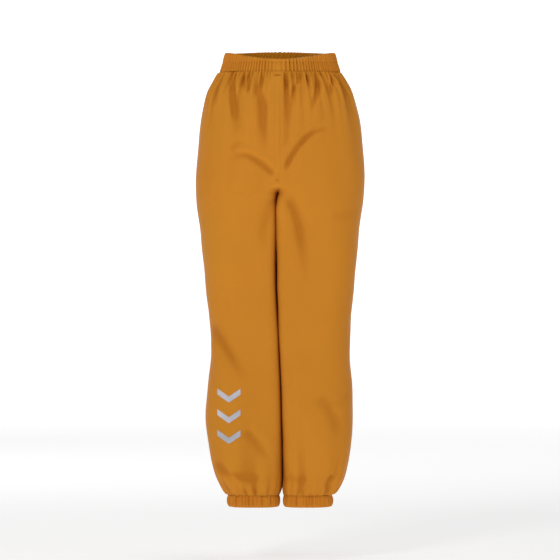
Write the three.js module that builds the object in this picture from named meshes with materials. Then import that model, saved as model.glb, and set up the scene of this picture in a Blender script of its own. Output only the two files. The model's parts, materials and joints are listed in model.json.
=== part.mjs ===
// Children's pull-on waterproof trousers: elastic waist, full legs, elastic hems.
// Millimetres, +Z up. The origin is the middle of the waist opening at the top of the
// waistband, the front faces -Y, and +X is the wearer's left.
//
// Each real panel runs from waist to hem in one piece. Here it is parted where the
// garment folds, at the hip and the knee, and a wedge of soft cloth fills each fold.

import * as THREE from 'three';

// ---------------------------------------------------------------- driving dimensions

// lengths down the garment
const RISE = 245;                // waistband top to the lowest point of the crotch seam
const THIGH_LENGTH = 235;        // crotch to knee
const SHIN_LENGTH = 270;         // knee to hem edge
const BAND_HEIGHT = 31;          // waist casing
const CUFF_HEIGHT = 23;          // hem casing
const HIP_AXIS_DROP = 215;       // waistband top to the line the legs swing about
const FORK_HEIGHT = 60;          // height in which the centre seam curves under the crotch
const FRONT_DIP = 9;             // how far the band's top edge dips at centre front

// widths across both legs and depths front to back, at each level of the outline
const WAIST = { width: 181, depth: 140 };
const BAND_SEAM = { width: 197, depth: 148 };
const UPPER_HIP = { width: 253, depth: 170 };
const HIP = { width: 280, depth: 184 };
const THIGH = { width: 262, depth: 158 };
const KNEE = { width: 230, depth: 130 };
const CALF = { width: 243, depth: 132 };
const ANKLE = { width: 223, depth: 120 };
const BLOUSE = { width: 196, depth: 102 };
const HEM = { width: 171, depth: 84 };
const SEAT_FULLNESS = 8;         // extra depth behind, at the fullest part of the seat
const LEG_GAP = 3;               // between the two inner legs
const ROUNDNESS = 2.4;           // exponent of the rounded sections: 2 is an ellipse

// cloth and trims
const CLOTH = 2;                 // panel thickness
const CASING_WALL = 1.2;
const ELASTIC = 1.5;             // elastic thickness
const ELASTIC_CLEARANCE = 0.4;   // elastic to casing, each side
const TAPE = 0.5;                // seam tape thickness
const TAPE_SPAN = 0.022;         // half a seam tape's width, as a share of a half section
const FELL_WIDTH = 9;            // lapped, twice stitched centre front seam
const FELL_SHIFT = -2.5;         // its middle lies on the wearer's right of the centre
const FELL_THICKNESS = 0.8;
const BARTACK = { width: 15, height: 2.4, thickness: 0.6 };
const LABEL = { width: 26, height: 20, thickness: 0.6 };
const CHEVRON = { width: 38, stroke: 10, rise: 13, pitch: 34, thickness: 0.4 };
const CHEVRON_MIDDLE = { x: -84, belowKnee: 118 };

// how far the garment folds, degrees
const HIP_FORWARD = 70;
const HIP_BACKWARD = 20;
const KNEE_BEND = 90;

// clearances
const SEAM_GAP = 0.3;            // between pieces that are sewn edge to edge
const FOLD_RELIEF = 0.5;         // kept on each side of a fold at its limit
const FOLD_GAP = 0.6;            // fold cloth to the panels above and below it
const TAPE_GAP = 0.8;            // tape to the inside of the cloth
const TRIM_GAP = 0.3;            // trims to the outside of the cloth

// facets
const PANEL_COLUMNS = 10;
const BAND_STEPS = 24;
const CUFF_STEPS = 12;

// ---------------------------------------------------------------- the outline

const kneeDrop = RISE + THIGH_LENGTH;
const hemDrop = kneeDrop + SHIN_LENGTH;
const cuffDrop = hemDrop - CUFF_HEIGHT;
const bandThickness = 2 * CASING_WALL + ELASTIC + 2 * ELASTIC_CLEARANCE;

const outline = [
  [0, WAIST],
  [BAND_HEIGHT, BAND_SEAM],
  [0.36 * RISE, UPPER_HIP],
  [0.76 * RISE, HIP],
  [RISE + 0.27 * THIGH_LENGTH, THIGH],
  [kneeDrop, KNEE],
  [kneeDrop + 0.44 * SHIN_LENGTH, CALF],
  [kneeDrop + 0.74 * SHIN_LENGTH, ANKLE],
  [cuffDrop - 14, BLOUSE],
  [cuffDrop, HEM],
];
const outlineCurve = new THREE.CubicInterpolant(
  outline.map(([drop]) => drop),
  outline.flatMap(([, size]) => [size.width, size.depth]),
  2,
  [0, 0],
);

const { lerp, clamp, degToRad } = THREE.MathUtils;

function sizeAt(drop) {
  const [width, depth] = outlineCurve.evaluate(clamp(drop, 0, cuffDrop));
  return { width, depth };
}

// A cosine bell that is 1 at the middle and 0 one half width away.
const bell = (offset, halfWidth) =>
  Math.abs(offset) < halfWidth ? (1 + Math.cos(Math.PI * offset / halfWidth)) / 2 : 0;

const seatBulge = (drop) => SEAT_FULLNESS * bell(drop - 0.7 * RISE, 0.6 * RISE);

const bow = (value) => Math.sign(value) * Math.abs(value) ** (2 / ROUNDNESS);

// 0 where the hips are one tube, 1 below the crotch where each leg is closed.
function forkShare(drop) {
  const share = clamp((drop - (RISE - FORK_HEIGHT)) / FORK_HEIGHT, 0, 1);
  return 1 - Math.sqrt(1 - share * share);
}

// A point of the cloth. t runs from 0 at the side seam to 1 at the centre seam, or at
// the inseam of a leg. face is -1 in front and 1 behind, side is 1 for the wearer's left.
// On the fork, each point keeps its place across and moves from the hips' section to the
// leg's, so that the end at the centre follows the crotch seam.
function clothPoint({ drop, t, face, side, inset = 0 }) {
  const { width, depth } = sizeAt(drop);
  const halfDepth = depth / 2 + (face > 0 ? seatBulge(drop) : 0) - inset;
  const across = (1 + bow(Math.cos(t * Math.PI))) / 2;
  const hipX = lerp(SEAM_GAP / 2, width / 2 - inset, across);
  const hipY = halfDepth * (1 - across ** ROUNDNESS) ** (1 / ROUNDNESS);
  const legX = lerp(LEG_GAP / 2 + inset, width / 2 - inset, across);
  const legY = halfDepth * bow(Math.sin(t * Math.PI));
  const share = forkShare(drop);
  return new THREE.Vector3(
    side * lerp(hipX, legX, share),
    face * (lerp(hipY, legY, share) + SEAM_GAP / 2),
    -drop,
  );
}

// All panels have their columns at the same places, closer together at the seams.
const columnPlace = (column) => (1 - Math.cos(Math.PI * column / PANEL_COLUMNS)) / 2;

// The same surface as the flat facets between those columns.
function facetPoint(place) {
  let column = 0;
  while (column < PANEL_COLUMNS - 1 && columnPlace(column + 1) < place.t) column += 1;
  const start = columnPlace(column);
  const end = columnPlace(column + 1);
  const low = clothPoint({ ...place, t: start });
  const high = clothPoint({ ...place, t: end });
  return low.lerp(high, (place.t - start) / (end - start));
}

// The drop at which a fold's slanted edge crosses the section at t. The fold's apex is
// on the hinge line, and each edge leans away from it by half the fold's angle.
function foldEdge({ t, face, hingeDrop, angle, below }) {
  const slope = Math.tan(degToRad(angle / 2));
  const direction = below ? 1 : -1;
  const away = (distance) => {
    const drop = hingeDrop + direction * distance;
    const y = Math.abs(clothPoint({ drop, t, face, side: 1 }).y);
    return distance - slope * y;
  };
  let near = 0;
  let far = 0.8 * hingeDrop;
  for (let step = 0; step < 40; step += 1) {
    const middle = (near + far) / 2;
    if (away(middle) < 0) near = middle;
    else far = middle;
  }
  return hingeDrop + direction * (near + FOLD_RELIEF);
}

// ---------------------------------------------------------------- making solids

function turnOver(geometry) {
  const index = geometry.getIndex();
  for (let i = 0; i < index.count; i += 3) {
    const second = index.getX(i + 1);
    index.setX(i + 1, index.getX(i + 2));
    index.setX(i + 2, second);
  }
}

function moveVertices(geometry, place, inwards) {
  const position = geometry.getAttribute('position');
  for (let i = 0; i < position.count; i += 1) {
    const p = place(position.getX(i), position.getY(i), position.getZ(i));
    position.setXYZ(i, p.x, p.y, p.z);
  }
  if (!geometry.getIndex()) {
    geometry.setIndex([...Array(position.count).keys()]);
  }
  if (inwards) turnOver(geometry);
  geometry.computeVertexNormals();
  return geometry;
}

// A sheet of cloth: a thin box in (across, down, through), each from 0 to 1, laid on the
// garment by place.
function sheet(columns, rows, place, inwards) {
  const box = new THREE.BoxGeometry(1, 1, 1, columns, rows, 1);
  return moveVertices(box, (x, y, z) => place(x + 0.5, 0.5 - y, 0.5 - z), inwards);
}

// A profile in (through, down), swept along the garment in the given steps.
function swept(profile, steps, place, inwards) {
  const tube = new THREE.ExtrudeGeometry(profile, { depth: 1, steps, bevelEnabled: false });
  return moveVertices(tube, place, inwards);
}

function rectangle(PathType, left, bottom, right, top) {
  return new PathType([
    new THREE.Vector2(left, bottom),
    new THREE.Vector2(right, bottom),
    new THREE.Vector2(right, top),
    new THREE.Vector2(left, top),
  ]);
}

// ---------------------------------------------------------------- materials

const cloth = (color) => new THREE.MeshStandardMaterial({ color, roughness: 0.62, metalness: 0 });
const materials = {
  shell: cloth(0xc27e2a),
  casing: cloth(0xb97526),
  fold: cloth(0xb4701f),
  elastic: new THREE.MeshStandardMaterial({ color: 0xe9e4da, roughness: 0.9, metalness: 0 }),
  tape: new THREE.MeshStandardMaterial({ color: 0x9a6a35, roughness: 0.35, metalness: 0 }),
  thread: new THREE.MeshStandardMaterial({ color: 0xa8661c, roughness: 0.7, metalness: 0 }),
  label: new THREE.MeshStandardMaterial({ color: 0xf2efe8, roughness: 0.8, metalness: 0 }),
  reflective: new THREE.MeshStandardMaterial({ color: 0xb9bcc6, roughness: 0.35, metalness: 0.2 }),
};

const trousers = new THREE.Group();

function add(name, geometry, material) {
  const mesh = new THREE.Mesh(geometry, materials[material]);
  mesh.name = name;
  trousers.add(mesh);
}

// ---------------------------------------------------------------- waistband

// Across runs from the wearer's left side seam over the centre to the right one.
function bandPoint({ across, down, face, inset }) {
  const angle = across * Math.PI;
  const { width } = sizeAt(0);
  const dip = face < 0 ? FRONT_DIP * bell(width / 2 * Math.cos(angle), width / 2) : 0;
  const drop = lerp(dip, BAND_HEIGHT, down / BAND_HEIGHT);
  const size = sizeAt(drop);
  return new THREE.Vector3(
    (size.width / 2 - inset) * bow(Math.cos(angle)),
    face * ((size.depth / 2 - inset) * bow(Math.sin(angle)) + SEAM_GAP / 2),
    -drop,
  );
}

// A stitched casing with the elastic in its channel, swept by place(along, down, inset).
function addCasing({ names, height, steps, place, inwards }) {
  const profile = rectangle(THREE.Shape, 0, -height, bandThickness, 0);
  const channelEnd = bandThickness - CASING_WALL;
  profile.holes.push(
    rectangle(THREE.Path, CASING_WALL, CASING_WALL - height, channelEnd, -CASING_WALL),
  );
  const margin = CASING_WALL + ELASTIC_CLEARANCE;
  const elastic = rectangle(THREE.Shape, margin, margin - height, margin + ELASTIC, -margin);
  const lay = (x, y, z) => place(z, -y, x);
  add(names.casing, swept(profile, steps, lay, inwards), 'casing');
  add(names.elastic, swept(elastic, steps, lay, inwards), 'elastic');
}

for (const [face, end] of [[-1, 'front'], [1, 'back']]) {
  addCasing({
    names: { casing: `waistband_${end}`, elastic: `waist_elastic_${end}` },
    height: BAND_HEIGHT,
    steps: BAND_STEPS,
    place: (across, down, inset) => bandPoint({ across, down, face, inset }),
    inwards: face < 0,
  });
}

// ---------------------------------------------------------------- cloth panels

// Each edge is a function from t to a drop.
const edges = {
  band: () => BAND_HEIGHT + SEAM_GAP,
  cuff: () => cuffDrop - SEAM_GAP,
  hip: (face, below) => (t) => foldEdge({
    t,
    face,
    hingeDrop: HIP_AXIS_DROP,
    angle: face < 0 ? HIP_FORWARD : HIP_BACKWARD,
    below,
  }),
  knee: (face, below) => (t) => (face < 0
    ? kneeDrop + (below ? 1 : -1) * SEAM_GAP / 2
    : foldEdge({ t, face, hingeDrop: kneeDrop, angle: KNEE_BEND, below })),
};

const straightDown = (top, bottom) => (t, down) => lerp(top(t), bottom(t), down);

// Rows are closer down to the crotch, so that the thigh's top follows the crotch seam.
function throughCrotch(top, bottom) {
  const upperShare = 0.4;
  return (t, down) => {
    const crotch = Math.max(top(t) + 12, RISE + 6);
    return down < upperShare
      ? lerp(top(t), crotch, down / upperShare)
      : lerp(crotch, bottom(t), (down - upperShare) / (1 - upperShare));
  };
}

// A panel between two columns: all of them, or fewer for a fold that starts past a seam.
function panel({ face, side, rows, dropAt, from = 0, to = PANEL_COLUMNS }) {
  const place = (across, down, through) => {
    const t = columnPlace(lerp(from, to, across));
    return clothPoint({ drop: dropAt(t, down), t, face, side, inset: through * CLOTH });
  };
  return sheet(to - from, rows, place, face * side < 0);
}

// The cloth between two folds, as rows of facets from dropAt(t, down).
const zones = {
  hip: { rows: 7, dropAt: (face) => straightDown(edges.band, edges.hip(face, false)) },
  thigh: {
    rows: 10,
    dropAt: (face) => throughCrotch(edges.hip(face, true), edges.knee(face, false)),
  },
  shin: { rows: 11, dropAt: (face) => straightDown(edges.knee(face, true), edges.cuff) },
};

// A tape inside, over the seam between a front and a back panel. It starts and ends at
// rows of the panels and follows their facets. seam is 0 at the side and 1 at the inseam.
function seamTape({ side, seam, zone, fromRow, toRow }) {
  const { rows, dropAt } = zones[zone];
  const place = (across, down, through) => {
    const offset = 2 * TAPE_SPAN * (across - 0.5);
    const face = offset < 0 ? -1 : 1;
    const t = Math.abs(seam - Math.abs(offset));
    return facetPoint({
      drop: dropAt(face)(t, lerp(fromRow, toRow, down) / rows),
      t,
      face,
      side,
      inset: CLOTH + TAPE_GAP + through * TAPE,
    });
  };
  return sheet(2, toRow - fromRow, place, (seam === 0) === (side < 0));
}

for (const [side, hand] of [[-1, 'right'], [1, 'left']]) {
  for (const [face, end] of [[-1, 'front'], [1, 'back']]) {
    const hipTop = edges.hip(face, false);
    const hipBottom = edges.hip(face, true);
    for (const [zone, { rows, dropAt }] of Object.entries(zones)) {
      add(`${zone}_${end}_${hand}`, panel({ face, side, rows, dropAt: dropAt(face) }), 'shell');
    }
    add(
      `${face < 0 ? 'groin' : 'seat'}_fold_${hand}`,
      panel({
        face,
        side,
        rows: face < 0 ? 6 : 3,
        from: face < 0 ? 1 : 2,
        dropAt: straightDown((t) => hipTop(t) + FOLD_GAP, (t) => hipBottom(t) - FOLD_GAP),
      }),
      'fold',
    );
    addCasing({
      names: { casing: `cuff_${end}_${hand}`, elastic: `cuff_elastic_${end}_${hand}` },
      height: CUFF_HEIGHT,
      steps: CUFF_STEPS,
      place: (t, down, inset) => clothPoint({ drop: cuffDrop + down, t, face, side, inset }),
      inwards: face * side < 0,
    });
  }
  add(
    `knee_fold_${hand}`,
    panel({
      face: 1,
      side,
      rows: 4,
      from: 1,
      to: PANEL_COLUMNS - 1,
      dropAt: straightDown(
        (t) => edges.knee(1, false)(t) + FOLD_GAP,
        (t) => edges.knee(1, true)(t) - FOLD_GAP,
      ),
    }),
    'fold',
  );
}

// ---------------------------------------------------------------- seam tapes

for (const [side, hand] of [[-1, 'right'], [1, 'left']]) {
  const lengths = [
    { zone: 'hip', seam: 0, fromRow: 0, toRow: 6 },
    { zone: 'thigh', seam: 0, fromRow: 1, toRow: 9 },
    { zone: 'thigh', seam: 1, fromRow: 5, toRow: 9 },
    { zone: 'shin', seam: 0, fromRow: 1, toRow: 9 },
    { zone: 'shin', seam: 1, fromRow: 1, toRow: 9 },
  ];
  for (const { zone, seam, fromRow, toRow } of lengths) {
    const name = `${zone}_${seam === 0 ? 'side' : 'inseam'}_tape_${hand}`;
    add(name, seamTape({ side, seam, zone, fromRow, toRow }), 'tape');
  }
}

// ---------------------------------------------------------------- trims on the surface

// The distance of the cloth from the x axis at a given x, on the hips or on a leg.
function surfaceY(drop, x, face) {
  const { width, depth } = sizeAt(drop);
  const onLeg = drop > RISE;
  const centre = onLeg ? Math.sign(x) * (width + LEG_GAP) / 4 : 0;
  const radius = onLeg ? (width - LEG_GAP) / 4 : width / 2;
  const share = Math.abs((x - centre) / radius);
  const halfDepth = depth / 2 + (face > 0 ? seatBulge(drop) : 0);
  return face * (halfDepth * (1 - share ** ROUNDNESS) ** (1 / ROUNDNESS) + SEAM_GAP / 2);
}

// A trim that lies on the cloth. out is how far its near side is from the surface, so it
// is negative inside the garment.
function trim({ columns, rows, face, xAt, dropAt, out, thickness }) {
  const place = (across, down, through) => {
    const x = xAt(across);
    const drop = dropAt(across, down);
    const lift = out + (1 - through) * thickness;
    return new THREE.Vector3(x, surfaceY(drop, x, face) + face * lift, -drop);
  };
  return sheet(columns, rows, place, face > 0);
}

const fellBottom = edges.hip(-1, false)(1) - 2;
const fellTop = edges.band() + 8;
add('front_seam_fell', trim({
  columns: 2,
  rows: zones.hip.rows,
  face: -1,
  xAt: (across) => FELL_SHIFT + (across - 0.5) * FELL_WIDTH,
  dropAt: (across, down) => lerp(fellTop, fellBottom, down),
  out: TRIM_GAP,
  thickness: FELL_THICKNESS,
}), 'shell');

add('fly_bartack', trim({
  columns: 2,
  rows: 1,
  face: -1,
  xAt: (across) => FELL_SHIFT + (across - 0.5) * BARTACK.width,
  dropAt: (across, down) => fellTop - SEAM_GAP - (1 - down) * BARTACK.height,
  out: TRIM_GAP,
  thickness: BARTACK.thickness,
}), 'thread');

add('waist_label', trim({
  columns: 2,
  rows: 2,
  face: 1,
  xAt: (across) => (across - 0.5) * LABEL.width,
  dropAt: (across, down) => edges.band() + 4 + down * LABEL.height,
  out: -(CLOTH + TAPE_GAP + LABEL.thickness),
  thickness: LABEL.thickness,
}), 'label');

for (let i = 0; i < 3; i += 1) {
  const middle = kneeDrop + CHEVRON_MIDDLE.belowKnee + (i - 1) * CHEVRON.pitch;
  add(`reflective_chevron_${i + 1}`, trim({
    columns: 8,
    rows: 1,
    face: -1,
    xAt: (across) => CHEVRON_MIDDLE.x + (across - 0.5) * CHEVRON.width,
    dropAt: (across, down) => middle
      + (0.5 - Math.abs(2 * across - 1)) * CHEVRON.rise
      + (down - 0.5) * CHEVRON.stroke,
    out: TRIM_GAP,
    thickness: CHEVRON.thickness,
  }), 'reflective');
}

export default trousers;
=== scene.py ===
"""Child's pull-on waterproof trousers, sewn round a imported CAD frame.

Metres, +Z up. The front faces -Y and +X is the wearer's left. A drop is a distance down
from the top of the waistband. phi runs round the hips: 0 at centre front, a quarter turn
at the wearer's left side seam. psi runs round one leg: 0 at its side seam, pi at its
inseam. All gathers and folds are functions of those and of the place, so that pieces
that meet at a seam have the same shape there.
"""

import json
import math

import bmesh
import bpy
import numpy as np
from mathutils import Matrix, Vector
from mathutils.bvhtree import BVHTree


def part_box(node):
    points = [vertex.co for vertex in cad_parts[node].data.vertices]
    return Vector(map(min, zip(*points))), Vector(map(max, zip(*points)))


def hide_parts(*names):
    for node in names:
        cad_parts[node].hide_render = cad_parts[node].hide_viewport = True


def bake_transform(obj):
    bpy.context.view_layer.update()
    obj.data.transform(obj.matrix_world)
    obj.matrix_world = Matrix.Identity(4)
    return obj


bl_info = {
    "name": "Waterproof Trousers",
    "version": (1, 0, 0),
    "blender": (4, 5, 0),
    "location": "3D View > Sidebar > Trousers",
    "description": "Sews a child's waterproof trousers round a CAD frame",
    "category": "Object",
}

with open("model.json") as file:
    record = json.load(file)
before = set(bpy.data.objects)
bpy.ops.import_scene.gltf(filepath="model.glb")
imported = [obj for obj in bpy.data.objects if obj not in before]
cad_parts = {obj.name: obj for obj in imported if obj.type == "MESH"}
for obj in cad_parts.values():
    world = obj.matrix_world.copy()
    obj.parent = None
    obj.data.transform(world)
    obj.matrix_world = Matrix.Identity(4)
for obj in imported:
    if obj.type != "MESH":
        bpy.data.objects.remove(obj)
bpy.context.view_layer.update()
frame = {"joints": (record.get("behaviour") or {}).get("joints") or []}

MM = 0.001
FRONT, BACK = -1, 1
SIDES = (("right", -1), ("left", 1))

# ---------------------------------------------------------------- sizes from the frame

BAND_LOW, BAND_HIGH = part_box("waistband_back")
CUFF_LOW, CUFF_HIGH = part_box("cuff_back_left")
HIP_LOW, HIP_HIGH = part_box("hip_back_left")
JOINTS = {joint["name"]: joint for joint in frame["joints"]}

BAND_SEAM_DROP = -BAND_LOW.z
CUFF_SEAM_DROP = -CUFF_HIGH.z + 0.0035
HEM_DROP = -CUFF_LOW.z
KNEE_DROP = -JOINTS["knee_left"]["pos_m"][2]
RISE = 0.245
SHIN_LENGTH = HEM_DROP - KNEE_DROP
FORK_TOP_DROP = RISE - 0.024

ROUNDNESS = 2.4
LEG_LEAN = 0.05
SEAT_FULLNESS = 0.008
CASING_THICKNESS = 0.0047
CLOTH_WALL = 0.0009
CASING_WALL = 0.0007
TAPE_THICKNESS = 0.0003
PRINT_THICKNESS = 0.0003
LABEL_THICKNESS = 0.0004
ELASTIC_THICKNESS = 0.0015

# How finely the puckered rings are cut round.
WAIST_COLUMNS = 944
CUFF_COLUMNS = 560
STITCH_SPOTS_WAIST = 1441
STITCH_SPOTS_CUFF = 720

# The heights at which one cloth piece ends and the next begins.
HIPS_END = 0.150
THIGH_END = 0.400
KNEE_END = 0.575
CUT_DROPS = {
    "hips": (BAND_SEAM_DROP, HIPS_END),
    "thigh": (HIPS_END, THIGH_END),
    "knee": (THIGH_END, KNEE_END),
    "shin": (KNEE_END, CUFF_SEAM_DROP),
}


def section_property(name, drop, width, depth):
    return bpy.props.FloatVectorProperty(
        name=name,
        description=f"Drop, width and depth of the garment at the {name.lower()}",
        default=(drop, width, depth),
        size=3,
        unit="LENGTH",
    )


def length_property(name, description, default):
    return bpy.props.FloatProperty(
        name=name, description=description, default=default, min=0.0, unit="LENGTH"
    )


def colour_property(name, description, default):
    return bpy.props.FloatVectorProperty(
        name=name,
        description=description,
        default=default,
        size=3,
        min=0.0,
        max=1.0,
        subtype="COLOR",
    )


class TrousersSizes(bpy.types.PropertyGroup):
    """The outline of the garment and the size of its gathers."""

    waist: section_property("Waist", 0.0, 0.181, 0.140)
    band_seam: section_property("Band seam", BAND_SEAM_DROP, 2 * BAND_HIGH.x + 0.0015, 0.148)
    upper_hip: section_property("Upper hip", 0.276 * RISE, 0.239, 0.164)
    hip: section_property("Hip", 0.81 * RISE, 2 * HIP_HIGH.x - 0.002, 0.184)
    thigh: section_property("Thigh", 0.302, 0.2625, 0.159)
    knee: section_property("Knee", KNEE_DROP, 0.2305, 0.130)
    calf: section_property("Calf", KNEE_DROP + 0.50 * SHIN_LENGTH, 0.2435, 0.131)
    ankle: section_property("Ankle", KNEE_DROP + 0.74 * SHIN_LENGTH, 0.222, 0.119)
    blouse: section_property("Blouse", CUFF_SEAM_DROP - 0.014, 0.1935, 0.102)
    hem: section_property("Hem", CUFF_SEAM_DROP + 0.012, 0.1545, 0.074)
    front_dip: length_property(
        "Front dip", "How far the band's top edge dips at centre front", 0.0109
    )
    back_rise: length_property(
        "Back rise", "How far the band's top edge rises at centre back", 0.0040
    )
    leg_gap: length_property("Leg gap", "Space between the two inner legs", 0.0005)
    gather_depth: length_property(
        "Gather depth", "Depth of the gathers below the waistband", 0.0022
    )
    pucker_depth: length_property(
        "Pucker depth", "Depth of the puckers of the casings", 0.0012
    )


class TrousersLooks(bpy.types.PropertyGroup):
    """The colours of the cloth and trims."""

    cloth: colour_property("Cloth", "Coated outer cloth", (0.56, 0.211, 0.021))
    casing: colour_property("Casing", "Waistband and hem casings", (0.555, 0.198, 0.020))
    # The backing is darker than the outer cloth: partly its own colour, partly painted shade
    # for the inside of the garment.
    backing: colour_property("Backing", "Inside of the cloth", (0.20, 0.052, 0.008))
    thread: colour_property("Thread", "Topstitching", (0.44, 0.145, 0.010))
    elastic: colour_property("Elastic", "Waist and hem elastic", (0.80, 0.77, 0.70))
    tape: colour_property("Seam tape", "Welded seam tape", (0.32, 0.13, 0.028))
    label: colour_property("Label", "Blank label in the waist", (0.85, 0.83, 0.78))
    print_colour: colour_property("Print", "Reflective print", (0.29, 0.31, 0.35))


def sizes():
    return bpy.context.scene.trousers_sizes


def looks():
    return bpy.context.scene.trousers_looks


# ---------------------------------------------------------------- the garment's surface


def smooth_step(value):
    share = np.clip(value, 0.0, 1.0)
    return share * share * (3 - 2 * share)


def bell(offset, half_width):
    """A cosine bell: 1 at the middle, 0 one half width away."""
    share = np.clip(np.abs(offset) / half_width, 0.0, 1.0)
    return (1 + np.cos(math.pi * share)) / 2


def bow(value):
    return np.sign(value) * np.abs(value) ** (2 / ROUNDNESS)


SECTIONS = (
    "waist", "band_seam", "upper_hip", "hip", "thigh",
    "knee", "calf", "ankle", "blouse", "hem",
)


def size_at(drop):
    """Width and depth at each drop, on a smooth curve through the outline's sections."""
    group = sizes()
    sections = np.array([list(getattr(group, name)) for name in SECTIONS])
    levels = sections[:, 0]
    drop = np.clip(drop, levels[0], levels[-1])
    low = np.clip(np.searchsorted(levels, drop, side="right") - 1, 0, len(levels) - 2)
    high = low + 1
    before = np.where(low > 0, low - 1, high)
    after = np.where(high < len(levels) - 1, high + 1, low)
    span = levels[high] - levels[low]
    weight_before = span / 2 / (levels[low] - levels[before])
    weight_after = span / 2 / (levels[after] - levels[high])
    p = (drop - levels[low]) / span
    p2, p3 = p * p, p * p * p
    shares = (
        (-weight_before * (p3 - 2 * p2 + p), before),
        ((1 + weight_before) * p3 - (1.5 + 2 * weight_before) * p2
         + (weight_before - 0.5) * p + 1, low),
        (-(1 + weight_after) * p3 + (1.5 + weight_after) * p2 + 0.5 * p, high),
        (weight_after * (p3 - p2), after),
    )
    width = sum(share * sections[index, 1] for share, index in shares)
    depth = sum(share * sections[index, 2] for share, index in shares)
    return width, depth


def seat_bulge(drop):
    return SEAT_FULLNESS * bell(drop - 0.7 * RISE, 0.6 * RISE)


def fullest_place(drop):
    """Where across half the garment the depth is greatest: 0 at the centre for the hips,
    0.5 at the middle of a leg."""
    return 0.5 * smooth_step((drop - 0.120) / 0.190)


def parting(drop):
    """0 where the hips are one tube, 1 below the crotch where each leg is closed."""
    return smooth_step((drop - FORK_TOP_DROP) / (RISE - FORK_TOP_DROP))


def inner_roundness(drop):
    """The legs press each other flat below the crotch and are round again at the cuffs."""
    return np.interp(drop, [0.222, 0.252, 0.60, 0.70, 0.74], [4.0, 9.0, 8.0, 3.4, 2.6])


def between_legs(drop):
    """Where the two sides meet: the line wanders a little as the legs lean together."""
    stops = [0.12, 0.22, 0.30, 0.383, 0.470, 0.556, 0.640, 0.704, CUFF_SEAM_DROP, HEM_DROP]
    places = [0.0, -2.6, -3.6, -3.6, 0.0, 4.0, 5.5, 5.5, 2.6, 1.6]
    return np.interp(drop, stops, places) * MM


def leg_gap(drop):
    """The gap opens below the crotch, stays narrow, and is wide between the cuffs."""
    narrow = sizes().leg_gap * smooth_step((drop - RISE) / 0.015)
    return narrow + 0.005 * smooth_step((drop - CUFF_SEAM_DROP + 0.015) / 0.017)


def section_point(drop, t, face, side, inset=0.0):
    """A point of the smooth garment. t is 0 at the side seam, 1 at the centre or inseam."""
    width, depth = size_at(drop)
    half_depth = depth / 2 + seat_bulge(drop) * np.maximum(face, 0) - inset
    across = (1 + bow(np.cos(t * math.pi))) / 2
    middle = side * between_legs(drop)
    inner = middle + leg_gap(drop) / 2 + inset * parting(drop)
    x = side * (inner + (width / 2 - inset - inner) * across)
    fullest = fullest_place(drop)
    outwards = np.clip((across - fullest) / (1 - fullest), 0.0, 1.0)
    inwards = np.clip((fullest - across) / np.maximum(fullest, 1e-9), 0.0, 1.0)
    near_side = np.maximum(1 - outwards**ROUNDNESS, 0.0) ** (1 / ROUNDNESS)
    power = inner_roundness(drop)
    share = (1 - (1 - parting(drop)) ** power) * inwards**power
    near_inseam = np.maximum(1 - share, 0.0) ** (1 / power)
    y = face * half_depth * np.where(across > fullest, near_side, near_inseam)
    x = x + LEG_LEAN * y * (1 - across) ** 2 * parting(drop)
    return np.stack(np.broadcast_arrays(x, y, -drop), axis=-1)


def even_columns(drops, shares, face, side):
    """For each drop, the t values that part its half section into even lengths."""
    t = (1 - np.cos(np.linspace(0.0, math.pi, 321))) / 2
    rings = section_point(drops[:, None], t[None, :], face, side)
    steps = np.linalg.norm(np.diff(rings, axis=1), axis=2)
    run = np.concatenate([np.zeros((len(drops), 1)), np.cumsum(steps, axis=1)], axis=1)
    run /= run[:, -1:]
    return np.stack([np.interp(shares, row, t) for row in run])


def laid_surface(drops, shares, face, side, inset=0.0):
    """Points and outward normals of the smooth garment on rows and even columns."""
    drops, shares = np.asarray(drops, float), np.asarray(shares, float)
    step_down, step_across = 0.0004, 0.002

    def points(rows, columns):
        t = even_columns(rows, np.clip(columns, 0.0, 1.0), face, side)
        return section_point(rows[:, None], t, face, side, inset)

    centre = points(drops, shares)
    along = points(drops, shares + step_across) - points(drops, shares - step_across)
    down = points(drops + step_down, shares) - points(drops - step_down, shares)
    normal = -face * side * np.cross(along, down)
    at_side = shares < 1e-6
    at_centre = shares > 1 - 1e-6
    normal[:, at_side, 1] = 0.0
    above = drops < RISE - 1e-6
    normal[np.ix_(above, at_centre, [0])] = 0.0
    normal[np.ix_(~above, at_centre, [1])] = 0.0
    normal /= np.maximum(np.linalg.norm(normal, axis=2, keepdims=True), 1e-12)
    return centre, normal


# ---------------------------------------------------------------- gathers and folds

# Where the two rows of topstitching of the front seam run, and the lap they hold.
FELL_ROWS = (-0.0070, 0.0004)
FELL_WIDTH = 0.0090
FELL_THICKNESS = 0.0006
FELL_END = -0.2085
# The grooves that rows of stitches and plain seams draw in the cloth.
FELL_GROOVE = 0.0006
SEAT_GROOVE = 0.0005
SIDE_GROOVE = 0.0004
SEAM_TUCK = 0.0008

# Pleats round the waist: how many, how deep and how far down they reach, in millimetres.
WAIST_GATHERS = (
    (118, 0.75, 11),
    (70, 1.15, 20),
    (43, 1.5, 42),
    (25, 1.5, 66),
    (14, 1.1, 95),
)
# Pleats round a cuff: how many, how deep and how far up they reach, in millimetres.
CUFF_GATHERS = ((44, 0.55, 7), (27, 1.0, 13), (15, 1.5, 24), (8, 1.4, 42), (5, 1.3, 70))

FOLD_STRENGTH = 1.9

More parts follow.
